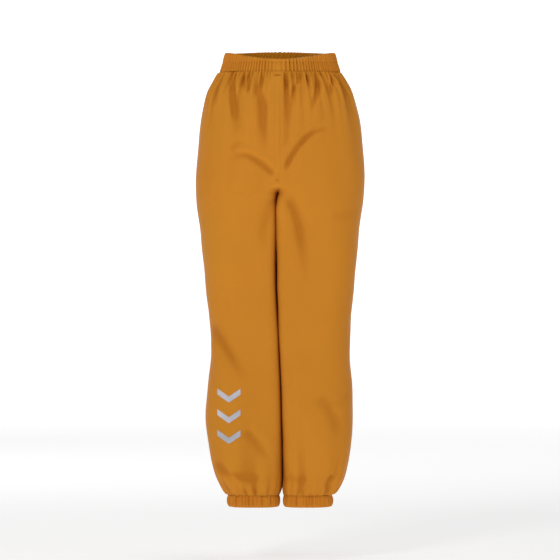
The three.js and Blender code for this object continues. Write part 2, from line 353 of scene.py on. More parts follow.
# Larger folds and creases in front, in millimetres: the line they follow as (x, -drop)
# points, their depth (negative stands proud), half width, and the height of the soft
# ridge beside them. Those of the waist start in the seam below the band.
WAIST_FOLDS = (
    (((-78, -33), (-78, -75), (-75, -122)), 3.8, 6.0, 0.8),
    (((-61, -33), (-62, -62)), 1.4, 3.0, 0.4),
    (((-50, -33), (-51, -55), (-53, -74)), 2.1, 3.0, 0.5),
    (((-38, -35), (-39, -58), (-43, -84)), 2.3, 3.4, 0.5),
    (((-27, -34), (-30, -48), (-35, -70)), 1.9, 2.8, 0.5),
    (((-37, -60), (-28, -87), (-27, -120), (-18, -178)), 1.9, 7.0, 0.6),
    (((8, -34), (10, -48), (11, -68)), 1.5, 2.4, 0.4),
    (((34, -35), (24, -59), (20, -76), (15, -126)), 2.3, 4.0, 0.7),
    (((44, -33), (46, -62)), 1.6, 3.0, 0.4),
    (((65, -34), (60, -66), (51, -104)), 2.7, 4.2, 0.7),
    (((86, -33), (85, -74)), 2.2, 3.8, 0.5),
    (((96, -34), (107, -52), (116, -78)), 1.6, 5.0, 0.5),
    (((-96, -36), (-104, -60), (-108, -92)), 1.4, 5.0, 0.5),
    (((-58, -62), (-57, -92), (-54, -124)), -1.8, 5.0, 0.0),
    (((34, -58), (33, -100)), -1.2, 7.0, 0.0),
)
BODY_CREASES = (
    (((6, -196), (20, -168), (40, -142), (62, -127), (90, -125)), 2.0, 4.6, 1.5),
    (((-8, -203), (-22, -189), (-43, -174), (-63, -168), (-92, -180)), 1.7, 5.2, -1.1),
    (((-84, -161), (-63, -150), (-38, -155)), 0.6, 7.0, 0.4),
    (((8, -232), (26, -273), (33, -308), (47, -391)), 1.7, 9.0, -1.0),
    (((-9, -236), (-24, -280), (-29, -330)), 0.9, 10.0, 0.6),
    (((84, -270), (134, -262)), 0.4, 9.0, 0.3),
    (((-118, -446), (-88, -490), (-56, -543)), 1.5, 9.0, -1.0),
    (((62, -560), (88, -600), (96, -640)), 0.9, 12.0, 0.6),
    (((-60, -618), (-34, -648), (-14, -680)), 1.1, 9.0, 0.8),
    (((-110, -672), (-84, -694), (-46, -701), (-8, -698)), 1.5, 7.0, -0.7),
    (((-84, -700), (-74, -712), (-66, -728)), 1.5, 3.6, 0.7),
    (((6, -698), (34, -704), (66, -699)), 0.9, 7.0, -0.3),
    (((88, -694), (79, -710), (74, -729)), 1.9, 4.0, 0.9),
    (((116, -560), (100, -574), (84, -572)), 0.8, 6.0, 0.5),
)
SEAT_CREASES = (
    (((10, -214), (38, -238), (78, -246), (112, -236)), 2.0, 7.0, 1.3),
    (((-10, -214), (-36, -240), (-74, -249), (-108, -240)), 2.1, 7.0, 1.3),
    (((14, -150), (50, -172), (92, -176)), 1.2, 8.0, 0.8),
    (((-14, -158), (-48, -178), (-88, -180)), 1.1, 8.0, 0.8),
    (((18, -464), (60, -480), (108, -462)), 1.4, 10.0, 0.8),
    (((-16, -470), (-60, -485), (-108, -468)), 1.3, 10.0, 0.8),
    (((34, -508), (62, -514), (88, -503)), 0.7, 9.0, 0.5),
    (((-30, -502), (-60, -513), (-84, -509)), 0.8, 9.0, 0.5),
    (((30, -300), (52, -360), (60, -430)), 0.7, 13.0, 0.4),
    (((-26, -310), (-50, -370), (-56, -440)), 0.7, 13.0, 0.4),
)


def smooth_path(stops, count=20):
    """A smooth line through the stops, as count points."""
    stops = np.array(stops, float) * MM
    padded = np.vstack([2 * stops[0] - stops[1], stops, 2 * stops[-1] - stops[-2]])
    line = []
    for place in np.linspace(0.0, len(stops) - 1 - 1e-9, count):
        k = int(place)
        f = place - k
        a, b, c, d = padded[k : k + 4]
        line.append(
            0.5
            * (
                2 * b
                + (c - a) * f
                + (2 * a - 5 * b + 4 * c - d) * f * f
                + (3 * b - a - 3 * c + d) * f**3
            )
        )
    return np.array(line)


def beside_path(x, z, stops):
    """Signed distance of each point from a line and how far along the line it lies."""
    line = smooth_path(stops)
    nearest = np.full(x.shape, 1e9)
    signed = np.zeros(x.shape)
    along = np.zeros(x.shape)
    for k in range(len(line) - 1):
        start, way = line[k], line[k + 1] - line[k]
        length = np.hypot(*way)
        rx, rz = x - start[0], z - start[1]
        f = np.clip((rx * way[0] + rz * way[1]) / length**2, 0.0, 1.0)
        distance = np.hypot(rx - f * way[0], rz - f * way[1])
        closer = distance < nearest
        nearest = np.where(closer, distance, nearest)
        turn = np.sign(way[0] * rz - way[1] * rx)
        signed = np.where(closer, distance * np.where(turn == 0, 1, turn), signed)
        along = np.where(closer, (k + f) / (len(line) - 1), along)
    return signed, along


def fold_height(x, z, folds, from_seam):
    """The height of the given folds at points of the front or back, in metres."""
    height = np.zeros(x.shape)
    for stops, depth, half_width, ridge in folds:
        reach = 4 * half_width * MM
        corners = np.array(stops, float) * MM
        near = (
            (x > corners[:, 0].min() - reach)
            & (x < corners[:, 0].max() + reach)
            & (z > corners[:, 1].min() - reach)
            & (z < corners[:, 1].max() + reach)
        )
        if not near.any():
            continue
        signed, along = beside_path(x[near], z[near], stops)
        s = signed / (half_width * MM)
        fade = smooth_step((1 - along) / 0.45)
        if from_seam:
            fade *= 0.4 + 0.6 * smooth_step(along / 0.3)
        else:
            fade *= smooth_step(along / 0.15)
        side = 1 if ridge > 0 else -1
        valley = np.exp(-s * s)
        crest = np.exp(-(((s - 1.9 * side) / 1.25) ** 2))
        height[near] += FOLD_STRENGTH * fade * (abs(ridge) * crest - depth * valley) * MM
    return height


def pleat(angle):
    """A gathered edge's wave: broad rounded crests and narrow valleys."""
    return 1 - 2 * ((1 - np.cos(angle)) / 2) ** 1.8


def gathers(angle, away, kinds, depth):
    """Pleats round a seam at the given angle, fading with the distance away from it."""
    height = np.zeros(np.broadcast(angle, away).shape)
    for count, deep, reach in kinds:
        wander = 1.1 * np.sin(3 * angle + count) + 0.7 * np.sin(7 * angle + 2.3 * count)
        uneven = 0.75 + 0.35 * np.sin(5 * angle + 1.7 * count) * np.sin(
            2 * angle - 0.6 * count
        )
        fade = np.exp(-((away / (reach * MM)) ** 1.4))
        swell = 1 - np.exp(-(away + 0.0006) / (0.15 * reach * MM))
        wave = pleat(count * angle + wander) - 0.17
        height += deep * depth * uneven * fade * swell * wave
    return height


def loose_waves(points):
    """The slow unevenness of cloth that hangs free."""
    x, y, z = points[..., 0], points[..., 1], points[..., 2]
    return MM * (
        0.8 * np.sin(38 * x + 14 * y + 21 * z + 0.4)
        + 0.6 * np.sin(-27 * x + 22 * y + 41 * z + 2.1)
        + 0.45 * np.sin(61 * x - 30 * y + 33 * z + 4.0)
        + 0.3 * np.sin(23 * x + 47 * y - 88 * z + 1.3)
        + 0.18 * np.sin(92 * x + 30 * y + 71 * z + 5.2)
    )


def cloth_height(points, shares, face, side):
    """How far the cloth stands off the smooth garment, for rows and columns of points,
    and how much of that is pleats and folds."""
    x, y, z = points[..., 0], points[..., 1], points[..., 2]
    drop = -z
    phi = side * (math.pi / 2) * (1 + face * shares)[None, :]
    psi = -face * math.pi * shares[None, :]
    _, depth = size_at(drop)
    facing = smooth_step(np.abs(y) / (0.30 * depth))
    centre_front = bell(x + 0.004, 0.022) * (y < 0)
    below_band = np.maximum(drop - BAND_SEAM_DROP, 0.0)
    above_cuff = np.maximum(CUFF_SEAM_DROP - drop, 0.0)
    height = gathers(phi, below_band, WAIST_GATHERS, sizes().gather_depth) * (
        1 - 0.8 * centre_front
    )
    inner = smooth_step((drop - 0.21) / 0.04) * (1 + np.cos(math.pi * (1 - shares))) / 2
    pressed = 1 - 0.95 * inner**4
    height += gathers(psi + side, above_cuff, CUFF_GATHERS, 1.7 * MM) * pressed
    below_seam = smooth_step(below_band / 0.006)
    if face == FRONT:
        height += fold_height(x, z, WAIST_FOLDS, True) * facing
        height += fold_height(x, z, BODY_CREASES, False) * facing
        reach = below_seam * (1 - smooth_step((drop - 0.21) / 0.01))
        for row in FELL_ROWS:
            height -= FELL_GROOVE * np.exp(-(((x - row) / 0.0009) ** 2)) * reach
    else:
        height += fold_height(x, z, SEAT_CREASES, False) * facing
        groove = np.exp(-((x / 0.0012) ** 2)) * (drop < RISE)
        height -= SEAT_GROOVE * groove * below_seam * facing
    side_seam = np.exp(-(((shares[None, :] * 0.2) / 0.0013) ** 2))
    height -= SIDE_GROOVE * side_seam * smooth_step(below_band / 0.01)
    waves = (
        loose_waves(points)
        * smooth_step(below_band / 0.05)
        * smooth_step(above_cuff / 0.03)
        * pressed
    )
    return height + waves, height


def dressed_surface(drops, shares, face, side, lift=0.0):
    """Points of the gathered cloth, its normals, and how deep in a fold each point is."""
    points, normal = laid_surface(drops, shares, face, side)
    height, pleated = cloth_height(points, shares, face, side)
    tuck = SEAM_TUCK * (
        np.exp(-(((drops - BAND_SEAM_DROP) / 0.0012) ** 2))
        + np.exp(-(((drops - CUFF_SEAM_DROP) / 0.0016) ** 2))
    )
    moved = points + normal * (height - tuck[:, None] + lift)[..., None]
    return moved, normal, pleated


# ---------------------------------------------------------------- making meshes


def new_object(name, mesh):
    thing = bpy.data.objects.new(name, mesh)
    bpy.context.scene.collection.objects.link(thing)
    return thing


def finish_mesh(bm, name, sharp_angle=50):
    """A smooth shaded object from a bmesh, which is freed."""
    mesh = bpy.data.meshes.new(name)
    bm.to_mesh(mesh)
    bm.free()
    mesh.shade_smooth()
    mesh.set_sharp_from_angle(angle=math.radians(sharp_angle))
    return new_object(name, mesh)


def grids_of_cloth(name, grids):
    """One welded mesh of several grids. Each is (rows, columns, points, uv, fold), where
    points run along its rows, and fold says how deep in a fold each one is; the cloth's finish
    paints shade by it."""
    bm = bmesh.new()
    for rows, columns, *_ in grids:
        bmesh.ops.create_grid(bm, x_segments=columns, y_segments=rows, size=0.5)
    mesh = bpy.data.meshes.new(name)
    bm.to_mesh(mesh)
    bm.free()
    points = np.concatenate([grid[2][::-1].reshape(-1, 3) for grid in grids])
    mesh.vertices.foreach_set("co", points.ravel())
    corner = np.zeros(len(mesh.loops), int)
    mesh.loops.foreach_get("vertex_index", corner)
    uv = np.concatenate([grid[3][::-1].reshape(-1, 2) for grid in grids])
    layer = mesh.uv_layers.new(name="cloth")
    layer.data.foreach_set("uv", uv[corner].ravel())
    fold = np.concatenate([grid[4][::-1].ravel() for grid in grids])
    attribute = mesh.attributes.new("fold", "FLOAT", "POINT")
    attribute.data.foreach_set("value", fold)
    bm = bmesh.new()
    bm.from_mesh(mesh)
    bpy.data.meshes.remove(mesh)
    bmesh.ops.remove_doubles(bm, verts=bm.verts, dist=2e-6)
    return bm


def with_wall(bm, name, thickness, lining=True):
    """An object with the given wall, whose inner faces take the second material."""
    mesh = bpy.data.meshes.new(name)
    bm.to_mesh(mesh)
    bm.free()
    thing = new_object(name, mesh)
    wall = thing.modifiers.new("wall", "SOLIDIFY")
    wall.thickness = thickness
    wall.offset = -1
    wall.material_offset = 1 if lining else 0
    wall.material_offset_rim = 0
    thing.data.materials.append(None)
    thing.data.materials.append(None)
    seen = thing.evaluated_get(bpy.context.evaluated_depsgraph_get())
    thick = bpy.data.meshes.new_from_object(seen)
    thick.name = name
    thing.modifiers.clear()
    thing.data = thick
    bpy.data.meshes.remove(mesh)
    thick.shade_smooth()
    thick.set_sharp_from_angle(angle=math.radians(60))
    return thing


def paint(thing, *materials):
    thing.data.materials.clear()
    for material in materials:
        thing.data.materials.append(material)


def cloth_grid(drops, shares, face, side, width=0.235):
    """One panel of cloth as a grid for grids_of_cloth, facing out."""
    columns = shares if face * side > 0 else shares[::-1]
    ordered = np.sort(shares)
    points, _, height = dressed_surface(drops, ordered, face, side)
    if face * side < 0:
        points, height = points[:, ::-1], height[:, ::-1]
    across = np.broadcast_to(columns * width, height.shape)
    down = np.broadcast_to(drops[:, None], height.shape)
    uv = np.stack([across, down], axis=-1)
    # The fold value is the pleats' depth in millimetres, capped at 2.6; the cloth's finish
    # paints shade by it.
    return len(drops) - 1, len(shares) - 1, points, uv, np.minimum(-height / MM, 2.6)


def cloth_piece(name, drops, shares, sides):
    grids = [
        cloth_grid(drops, shares, face, side) for side in sides for face in (FRONT, BACK)
    ]
    return with_wall(grids_of_cloth(name, grids), name, CLOTH_WALL)


def cloth_rows(top, bottom, spacing):
    """Drops from top to bottom, closer where the crotch seam curves under."""
    stops = [top]
    for edge in (FORK_TOP_DROP, RISE, bottom):
        if not stops[-1] < edge <= bottom:
            continue
        count = max(int(round((edge - stops[-1]) / spacing)), 2)
        share = np.linspace(0.0, 1.0, count + 1)[1:]
        if abs(edge - RISE) < 1e-9 and abs(stops[-1] - FORK_TOP_DROP) < 1e-9:
            share = np.linspace(0.0, 1.0, 25)[1:]
        stops += list(stops[-1] + (edge - stops[-1]) * share)
    return np.array(stops)


# ---------------------------------------------------------------- fixing the pieces in place


def stretch_with_waist(piece):
    """Bakes the piece's placement into its mesh; nothing here makes it stretch with the waist.
    """
    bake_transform(piece)


def bend_at_hip(piece):
    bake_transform(piece)


def bend_at_knee(piece):
    start, end = (0.0, 0.0, -KNEE_DROP + 0.07), (0.0, 0.0, -KNEE_DROP - 0.07)
    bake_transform(piece)


def stretch_with_hem(piece):
    """Bakes the piece's placement into its mesh; nothing here makes it stretch with the hem.
    """
    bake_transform(piece)


# ---------------------------------------------------------------- materials


class Signal:
    """A shader socket that adds a Math node when it is used in an expression."""

    def __init__(self, shader, socket):
        self.shader = shader
        self.socket = socket

    def maths(self, operation, *values):
        made = self.shader.node("ShaderNodeMath", {"operation": operation}, values)
        return Signal(self.shader, made.outputs[0])

    def __add__(self, other):
        return self.maths("ADD", self, other)

    __radd__ = __add__

    def __sub__(self, other):
        return self.maths("SUBTRACT", self, other)

    def __rsub__(self, other):
        return self.maths("SUBTRACT", other, self)

    def __mul__(self, other):
        return self.maths("MULTIPLY", self, other)

    __rmul__ = __mul__

    def sine(self):
        return self.maths("SINE", self)

    def clamped(self):
        return self.maths("MINIMUM", self.maths("MAXIMUM", self, 0.0), 1.0)


class Finish:
    """A procedural material on one Principled shader."""

    def __init__(self, name):
        self.material = bpy.data.materials.new(name)
        self.material.use_nodes = True
        self.tree = self.material.node_tree
        self.shader = self.tree.nodes["Principled BSDF"]

    def node(self, kind, settings=None, values=()):
        """Adds a node, sets it, then fills its sockets with values or links."""
        made = self.tree.nodes.new(kind)
        for key, value in (settings or {}).items():
            setattr(made, key, value)
        pairs = values.items() if isinstance(values, dict) else enumerate(values)
        for key, value in pairs:
            self.fill(made.inputs[key], value)
        return made

    def fill(self, socket, value):
        if isinstance(value, Signal):
            value = value.socket
        if isinstance(value, bpy.types.NodeSocket):
            self.tree.links.new(value, socket)
        else:
            socket.default_value = value

    def set(self, **values):
        for key, value in values.items():
            self.fill(self.shader.inputs[key.replace("_", " ")], value)
        return self

    def signal(self, made, output=0):
        return Signal(self, made.outputs[output])

    def noise(self, scale, detail=2.0, rough=0.5, where=None):
        place = where or self.node("ShaderNodeTexCoord").outputs["Object"]
        made = self.node(
            "ShaderNodeTexNoise",
            {"noise_dimensions": "3D"},
            {"Vector": place, "Scale": scale, "Detail": detail, "Roughness": rough},
        )
        return self.signal(made)

    def mix(self, share, first, second):
        made = self.node("ShaderNodeMix", {"data_type": "RGBA"})
        self.fill(made.inputs[0], share)
        self.fill(made.inputs[6], first)
        self.fill(made.inputs[7], second)
        return made.outputs[2]

    def bump(self, height, distance, strength=1.0):
        made = self.node(
            "ShaderNodeBump",
            {},
            {"Strength": strength, "Distance": distance, "Height": height},
        )
        self.fill(self.shader.inputs["Normal"], made.outputs[0])


def shade(colour, factor):
    return tuple(min(channel * factor, 1.0) for channel in colour) + (1.0,)


def woven(finish, pitch):
    """The height of a plain weave with the given thread pitch, on the cloth's own map."""
    uv = finish.node("ShaderNodeUVMap", {"uv_map": "cloth"}).outputs[0]
    parts = finish.node("ShaderNodeSeparateXYZ", {}, [uv])
    turn = 2 * math.pi / pitch
    warp = (finish.signal(parts, 0) * turn).sine()
    weft = (finish.signal(parts, 1) * turn).sine()
    return warp * weft * 0.5 + 0.5


# Colour of the painted shade on the inner wall of the casings.
CASING_INSIDE_SHADE_COLOUR = (0.50, 0.185, 0.012, 1.0)
# Colour of the painted shade in the folds of the cloth.
FOLD_SHADE_COLOUR = (0.33, 0.088, 0.005, 1.0)
OLIVE_CAST = (0.49, 0.215, 0.020, 1.0)


def coated_cloth(name, colour):
    """Nearly matt coated cloth: a fine weave under the coating, an uneven tone with an olive
    cast in places, and painted shade: a darker, redder colour in the folds and inside the
    casings."""
    finish = Finish(name)
    weave = woven(finish, 0.0009)
    slow = finish.noise(9.0, 3.0)
    fine = finish.noise(420.0, 2.0)
    fold = finish.node("ShaderNodeAttribute", {"attribute_name": "fold"})
    depth = finish.signal(fold, 2)
    tone = (0.5 + (slow - 0.5) * 0.7 + (fine - 0.5) * 0.25).clamped()
    surface = finish.mix(tone, shade(colour, 0.93), shade(colour, 1.07))
    olive = finish.noise(5.0, 1.0)
    surface = finish.mix(((olive - 0.5) * 2.0).clamped(), surface, OLIVE_CAST)
    # Painted shade: the deeper a point lies in a fold, by the fold attribute, the more its
    # colour turns to the fold shade colour.
    surface = finish.mix((depth * 0.17).clamped(), surface, FOLD_SHADE_COLOUR)
    # Painted shade on the casings' inner wall, where the fold attribute is above 4.
    inside = ((depth - 4.0) * 0.5).clamped()
    finish.set(
        Base_Color=finish.mix(inside, surface, CASING_INSIDE_SHADE_COLOUR),
        Roughness=0.44 + (fine - 0.5) * 0.12 + (slow - 0.5) * 0.06,
        Specular_IOR_Level=0.02,
    )
    finish.bump(weave * 0.55 + fine * 0.45, 0.00012, 0.55)
    return finish.material


def backing_cloth(colour):
    """The knitted inside of the cloth: matt and finely looped, and darker than the outer
    cloth, partly its own colour and partly painted shade for the inside of the garment.
    """
    finish = Finish("backing")
    loops = woven(finish, 0.0013)
    slow = finish.noise(25.0)
    tone = (loops * 0.5 + slow * 0.5).clamped()
    finish.set(
        Base_Color=finish.mix(tone, shade(colour, 0.75), shade(colour, 1.25)),
        Roughness=0.85,
        Sheen_Weight=0.3,
        Sheen_Roughness=0.5,
    )
    finish.bump(loops, 0.0002, 0.6)
    return finish.material


def spun_thread(colour):
    """Twisted sewing thread."""
    finish = Finish("thread")
    fibre = finish.noise(1500.0, 2.0)
    finish.set(
        Base_Color=finish.mix(fibre, shade(colour, 0.8), shade(colour, 1.2)),
        Roughness=0.6,
        Specular_IOR_Level=0.1,
    )
    finish.bump(fibre, 0.0001, 0.5)
    return finish.material


def ribbed_elastic(colour):
    """Woven elastic with lengthwise ribs and rubber showing between them."""
    finish = Finish("elastic")
    uv = finish.node("ShaderNodeUVMap", {"uv_map": "cloth"}).outputs[0]
    parts = finish.node("ShaderNodeSeparateXYZ", {}, [uv])
    rib = (finish.signal(parts, 1) * (2 * math.pi / 0.0022)).sine() * 0.5 + 0.5
    cross = (finish.signal(parts, 0) * (2 * math.pi / 0.0011)).sine() * 0.5 + 0.5
    tone = (rib * 0.7 + cross * 0.3).clamped()
    finish.set(
        Base_Color=finish.mix(tone, shade(colour, 0.72), shade(colour, 1.05)),
        Roughness=0.85,
    )
    finish.bump(tone, 0.0004, 0.7)
    return finish.material


def welded_tape(colour):
    """Thin film over a seam: smoother than the cloth, with a faint scrim in it."""
    finish = Finish("seam_tape")
    scrim = woven(finish, 0.0016)
    slow = finish.noise(60.0)
    finish.set(
        Base_Color=finish.mix(
            (scrim * 0.4 + slow * 0.6).clamped(), shade(colour, 0.85), shade(colour, 1.2)
        ),
        Roughness=0.36 + (slow - 0.5) * 0.15,
    )
    finish.bump(scrim, 0.0001, 0.4)
    return finish.material


def satin_label(colour):
    """Blank woven satin."""
    finish = Finish("label")
    weave = woven(finish, 0.0006)
    finish.set(
        Base_Color=finish.mix(weave, shade(colour, 0.9), shade(colour, 1.02)),
        Roughness=0.5,
        Sheen_Weight=0.3,
    )
    finish.bump(weave, 0.00008, 0.6)
    return finish.material


def bead_print(colour):
    """Reflective print: fine glass beads in a silver ink, slightly worn at places."""
    finish = Finish("reflective_print")
    place = finish.node("ShaderNodeTexCoord").outputs["Object"]
    beads = finish.node(
        "ShaderNodeTexVoronoi", {"feature": "F1"}, {"Vector": place, "Scale": 2200.0}
    )
    dots = finish.signal(beads, 0)
    worn = finish.noise(90.0, 3.0)
    hue = finish.noise(28.0, 1.0)
    silver = finish.mix(hue, shade(colour, 0.9), (0.60, 0.57, 0.62, 1.0))
    finish.set(
        Base_Color=finish.mix(((worn - 0.56) * 3.0).clamped(), silver, (0.40, 0.36, 0.34, 1)),
        Roughness=0.34 + worn * 0.2,
        Metallic=0.45,
    )
    finish.bump(1.0 - dots, 0.00015, 0.5)
    return finish.material


FINISHES = {}


def finish_named(name):
    """Each finish is made once, from the colours in the panel."""
    makers = {
        "cloth": lambda: coated_cloth("coated_cloth", looks().cloth),
        "casing": lambda: coated_cloth("casing_cloth", looks().casing),
        "backing": lambda: backing_cloth(looks().backing),
        "thread": lambda: spun_thread(looks().thread),
        "elastic": lambda: ribbed_elastic(looks().elastic),
        "tape": lambda: welded_tape(looks().tape),
        "label": lambda: satin_label(looks().label),
        "print": lambda: bead_print(looks().print_colour),
    }
    if name not in FINISHES:
        FINISHES[name] = makers[name]()
    return FINISHES[name]


# ---------------------------------------------------------------- casings

STITCH_ROW_DROPS = (0.0165, 0.0300)
CUFF_STITCH_SHARE = 0.12


def casing_profile(height, outer_rows, inner_rows, corner=0.0009):
    """The round of a folded casing as (through, down) shares: lower edge, inner wall,
    upper edge, outer wall. It ends where it starts."""
    wide, tall = corner / CASING_THICKNESS, corner / height
    places = []
    for k, (through, down) in enumerate(
        ((wide, 1 - tall), (1 - wide, 1 - tall), (1 - wide, tall), (wide, tall))
    ):
        for turn in (k + np.linspace(0.0, 1.0, 4)) * math.pi / 2:
            places.append(
                (through - wide * math.cos(turn), down + tall * math.sin(turn))
            )
        rows = (1, inner_rows, 1, outer_rows)[k]
        x, y = places[-1]
        for row in range(1, rows):
            places.append((x, y + (1 - 2 * y) * row / rows))
    places.append(places[0])
    return np.array(places).T


def band_ring(phi, down, inset):
    """Points of the waistband at angle phi: down runs 0 to 1 from its top edge."""
    turn = np.asarray(phi) - math.pi / 2
    cos, sin = bow(np.cos(turn)), bow(np.sin(turn))
    top_width, _ = size_at(np.array(0.0))
    x_top = top_width / 2 * cos
    bend = np.where(sin < 0, sizes().front_dip, -sizes().back_rise)
    dip = bend * np.clip(1 - (x_top / (top_width / 2)) ** 2, 0, 1) ** 1.4
    drop = dip + (BAND_SEAM_DROP - dip) * down
    width, depth = size_at(np.maximum(drop, 0.0))
    return np.stack([(width / 2 - inset) * cos, (depth / 2 - inset) * sin, -drop], -1)


def band_puckers(phi, drop, x, front):
    """The small upright puckers that the elastic draws in the casing."""
    wander = 1.3 * np.sin(3 * phi + 0.7) + 0.9 * np.sin(8 * phi + 2.0)
    fine = pleat(118 * phi + wander)
    coarse = pleat(59 * phi + 1.4 * wander + 0.8)
    uneven = 0.9 + 0.2 * np.sin(6 * phi + 1.1) * np.sin(11 * phi)
    flat = 1 - 0.85 * front * bell(x + 0.0048, 0.013)
    lower = 0.7 + 0.5 * smooth_step((drop - 0.010) / 0.010)
    return (fine * lower + coarse * 0.25) * uneven * flat


def puckered_band(phi, down, inset):
    """The waistband's ring with the puckers on it, for what lies in the casing."""
    ring = band_ring(phi, down, inset)
    front = ring[..., 1] < 0
    pucker = band_puckers(phi, -ring[..., 2], ring[..., 0], front)
    return band_ring(phi, down, inset - pucker * sizes().pucker_depth)


def waist_casing_grid(columns):
    phi = np.linspace(-math.pi, math.pi, columns + 1)
    through, down = casing_profile(BAND_SEAM_DROP, 26, 8)
    steps = len(through) - 1
    inset = through * CASING_THICKNESS
    rings = band_ring(phi[None, :], down[:, None], inset[:, None])
    drop = -rings[..., 2]
    middle = band_ring(phi[None, :], down[:, None], CASING_THICKNESS / 2 + 0 * inset[:, None])
    outward = band_ring(phi[None, :], down[:, None], 0 * inset[:, None]) - middle
    outward[..., 2] = 0
    outward /= np.linalg.norm(outward, axis=2, keepdims=True)
    front = rings[..., 1] < 0
    pucker = band_puckers(phi[None, :], drop, rings[..., 0], front) * sizes().pucker_depth
    sideways = (1 - 2 * through)[:, None]
    pinch = sum(
        np.exp(-(((drop - row) / 0.0013) ** 2)) for row in STITCH_ROW_DROPS
    )
    puff = np.sin(np.clip((drop - 0.002) / 0.0145, 0, 1) * math.pi) * 0.0004
    seam = np.exp(-(((rings[..., 0] - 0.006) / 0.0008) ** 2)) * front
    seam_back = np.exp(-((rings[..., 0] / 0.0008) ** 2)) * ~front
    shift = pucker + sideways * (puff - 0.0006 * pinch - 0.0008 * (seam + seam_back))
    points = rings + outward * shift[..., None]
    ruffle = 0.0005 * pleat(118 * phi + 0.9 * np.sin(3 * phi))[None, :]
    points[..., 2] += ruffle * np.exp(-((drop - drop.min(axis=0)) / 0.003) ** 2)
    run = np.cumsum(
        np.append(0, np.linalg.norm(np.diff(rings[steps // 2], axis=0), axis=1))
    )
    around = np.broadcast_to(run[None, :], drop.shape) * 1.35
    way = np.broadcast_to(
        np.cumsum(np.append(0, np.hypot(np.diff(inset), np.diff(down * 0.031))))[:, None],
        drop.shape,
    )
    # The fold value paints shade: the depth of the puckers, and 7 more on the inner wall so
    # that the wall takes the casing's painted inside shade.
    fold = -shift / 0.0010 + 7.0 * smooth_step((through[:, None] - 0.5) / 0.3)
    uv = np.stack([around, way], axis=-1)
    return steps, columns, points, uv, fold


def leg_ring(drop, psi, side, inset):
    """Points of a closed leg section: psi is 0 at the side seam and pi at the inseam."""
    face = np.where(psi > 0, FRONT, BACK)
    level = np.minimum(drop, CUFF_SEAM_DROP)
    ring = section_point(level, np.abs(psi) / math.pi, face, side, inset)
    ring[..., 2] = -drop
    return ring


def even_angles(drop, side, columns):
    """Angles round a leg section that part it into even lengths."""
    psi = np.linspace(-math.pi, math.pi, 1441)
    ring = leg_ring(np.full(psi.shape, drop), psi, side, 0.0)
    run = np.append(0, np.cumsum(np.linalg.norm(np.diff(ring, axis=0), axis=1)))
    even = np.interp(np.linspace(0.0, run[-1], columns + 1), run, psi)
    return even, np.linspace(-math.pi, math.pi, columns + 1), run[-1]


def cuff_puckers(turn, down, side):
    wander = 1.5 * np.sin(3 * turn + side) + 1.1 * np.sin(7 * turn + 2.0 * side)
    deep = 0.75 + 0.5 * np.sin(4 * turn + 0.5 * side) * np.sin(9 * turn + side)
    pucker = 0.65 * pleat(46 * turn + wander) + 0.6 * pleat(27 * turn - 1.3 * wander + side)
    middle = np.sin(np.clip(down, 0, 1) * math.pi)
    return (0.45 + 0.55 * middle) * pucker * deep * sizes().pucker_depth * 1.7


def cuff_casing_grid(side, columns):
    psi, turn, girth = even_angles(HEM_DROP - 0.01, side, columns)
    through, down = casing_profile(HEM_DROP - CUFF_SEAM_DROP, 16, 6)
    steps = len(through) - 1
    drop = CUFF_SEAM_DROP + down * (HEM_DROP - CUFF_SEAM_DROP)
    barrel = 0.0016 + 0.0014 * np.maximum(2 * down - 1, 0.0) ** 4
    inset = through * CASING_THICKNESS + barrel
    rings = leg_ring(drop[:, None], psi[None, :], side, inset[:, None])
    outward = leg_ring(drop[:, None], psi[None, :], side, 0.0) - leg_ring(
        drop[:, None], psi[None, :], side, 0.002
    )
    outward[..., 2] = 0
    outward /= np.linalg.norm(outward, axis=2, keepdims=True)
    pinch = np.exp(-(((down - CUFF_STITCH_SHARE) / 0.05) ** 2))
    middle = np.sin(np.clip(down, 0, 1) * math.pi)
    shift = cuff_puckers(turn[None, :], down[:, None], side)
    shift += ((1 - 2 * through) * (0.0005 * middle - 0.0007 * pinch))[:, None]
    points = rings + outward * shift[..., None]
    around = np.broadcast_to((turn / (2 * math.pi) * girth * 1.3)[None, :], shift.shape)
    way = np.broadcast_to(
        np.cumsum(np.append(0, np.hypot(np.diff(inset), np.diff(drop))))[:, None],
        shift.shape,
    )
    uv = np.stack([around, way], axis=-1)
    # The depth of the puckers is returned as the fold value, by which the finish paints shade.
    return steps, columns, points, uv, -shift / 0.0012


def ring_piece(name, grid, wall=0.0):
    """A closed ring from one grid whose edges meet, hollow where it is given a wall."""
    bm = grids_of_cloth(name, [grid])
    bmesh.ops.remove_doubles(bm, verts=bm.verts, dist=1e-5)
    bmesh.ops.recalc_face_normals(bm, faces=bm.faces)
    if wall:
        return with_wall(bm, name, wall)
    return finish_mesh(bm, name)


def placed_grid(spots, turn=-1):
    """A grid for grids_of_cloth from spots set one by one, mapped by x and z."""
    rows, columns = spots.shape[0] - 1, spots.shape[1] - 1
    uv = np.stack([spots[..., 0], turn * spots[..., 2]], axis=-1)
    return rows, columns, spots, uv, np.zeros(spots.shape[:2])


def elastic_grid(ring, depth, down_from, down_to, columns, around):
    """A flat band of elastic in a casing: a small rounded section along a ring."""
    through, down = casing_profile(BAND_SEAM_DROP, 3, 3)
    inset = depth + through * ELASTIC_THICKNESS
    share = down_from + down * (down_to - down_from)
    points = ring(share[:, None], inset[:, None])
    run = np.broadcast_to((around * np.linspace(0, 1, columns + 1))[None, :], points.shape[:2])
    way = np.broadcast_to((down * 0.02)[:, None], points.shape[:2])
    uv = np.stack([run, way], axis=-1)
    return len(through) - 1, columns, points, uv, np.zeros(points.shape[:2])


# ---------------------------------------------------------------- stitches


